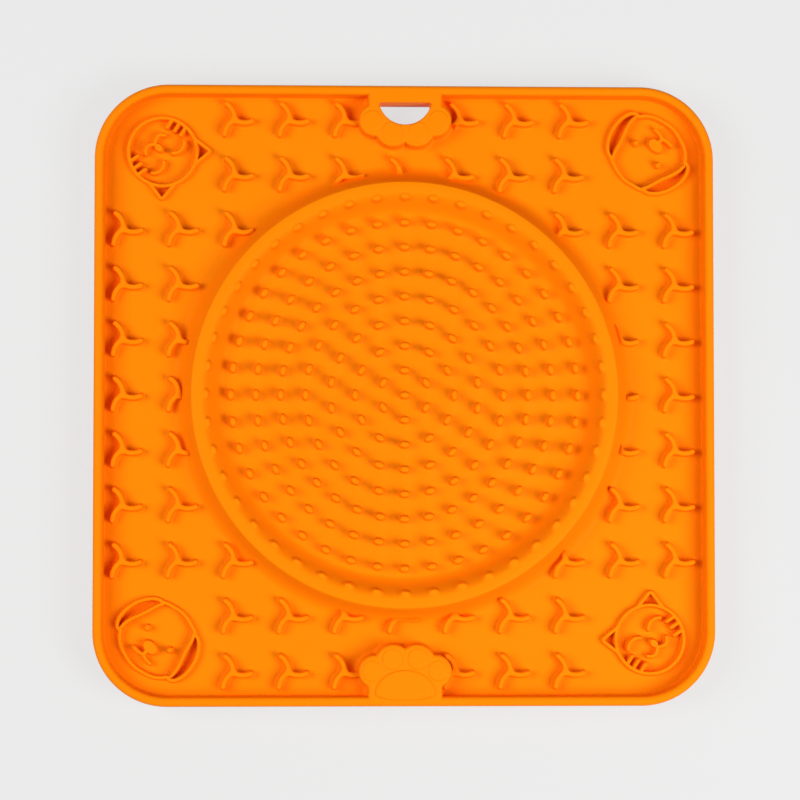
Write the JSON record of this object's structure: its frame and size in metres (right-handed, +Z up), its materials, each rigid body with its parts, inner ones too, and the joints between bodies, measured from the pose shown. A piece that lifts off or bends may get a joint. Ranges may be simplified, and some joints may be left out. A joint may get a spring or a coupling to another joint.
{
  "type": "pet lick mat",
  "caption": "Square silicone lick mat: a rimmed tray with a three-armed ridge floor, a round nubbed dish in a crowned ring, corner faces, paw-shaped tabs with a hang slot, and suction cups.",
  "frame": {"origin": "middle of the mat, in the plane that its suction cups rest on", "axes": "+Z up through the mat, +Y towards the edge with the hang slot (rear), +X to the right seen from above"},
  "size_m": [0.2, 0.2, 0.014],
  "materials": {
    "silicone": "matt food-grade silicone in one saturated orange, moulded in one shot"
  },
  "bodies": {
    "root": {"floor_sheet": "silicone", "rim": "silicone", "bowl_wall": "silicone", "lick_dish": "silicone", "cat_face_rear_left": "silicone", "cat_face_front_right": "silicone", "dog_face_rear_right": "silicone", "dog_face_front_left": "silicone", "hang_tab": "silicone", "paw_tab": "silicone", "suction_cup_01": "silicone", "suction_cup_02": "silicone", "suction_cup_03": "silicone", "suction_cup_04": "silicone", "suction_cup_05": "silicone", "suction_cup_06": "silicone", "suction_cup_07": "silicone", "suction_cup_08": "silicone", "suction_cup_09": "silicone", "suction_cup_10": "silicone", "suction_cup_11": "silicone", "suction_cup_12": "silicone", "suction_cup_13": "silicone", "suction_cup_14": "silicone", "suction_cup_15": "silicone", "suction_cup_16": "silicone"}
  },
  "joints": []
}
